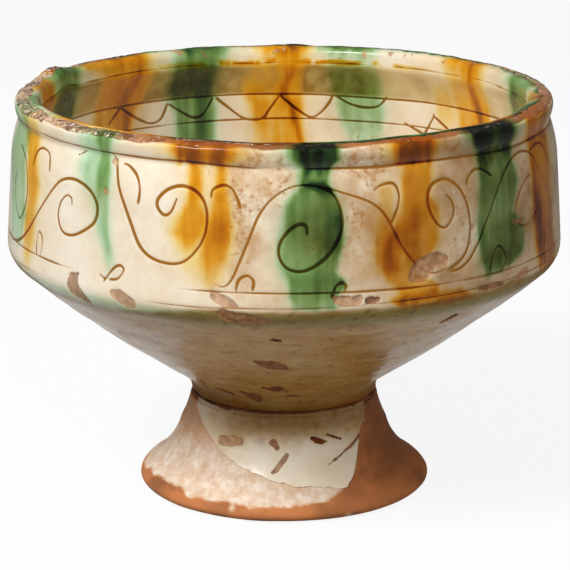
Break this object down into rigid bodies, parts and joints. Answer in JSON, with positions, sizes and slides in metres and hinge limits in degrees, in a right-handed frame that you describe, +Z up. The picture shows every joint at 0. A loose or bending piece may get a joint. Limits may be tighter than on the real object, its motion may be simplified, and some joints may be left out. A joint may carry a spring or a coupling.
{
  "type": "footed glazed bowl",
  "caption": "Wide bowl with a sharp turn at the waist, a rolled lip and a flared hollow foot, slip-coated, incised and splash-glazed, for serving food or drink.",
  "frame": {"origin": "middle of the ring that the foot stands on", "axes": "+Z up along the axis of turning, -Y towards the side with the slip tongue on the foot"},
  "size_m": [0.14, 0.14, 0.1021],
  "materials": {
    "red_clay": "unglazed, rubbed",
    "inner_coat": "glossy lead glaze over white slip, splashed green and amber",
    "outer_coat": "glossy lead glaze over incised white slip, splashed green and amber",
    "foot_clay": "unglazed, with lime crust",
    "luting_slip": "matt",
    "foot_coat": "worn glaze over white slip"
  },
  "bodies": {
    "root": {"bowl_body": "red_clay", "inner_glaze": "inner_coat", "outer_glaze": "outer_coat", "pedestal_foot": "foot_clay", "luting_seam": "luting_slip", "foot_slip": "foot_coat"}
  },
  "joints": []
}
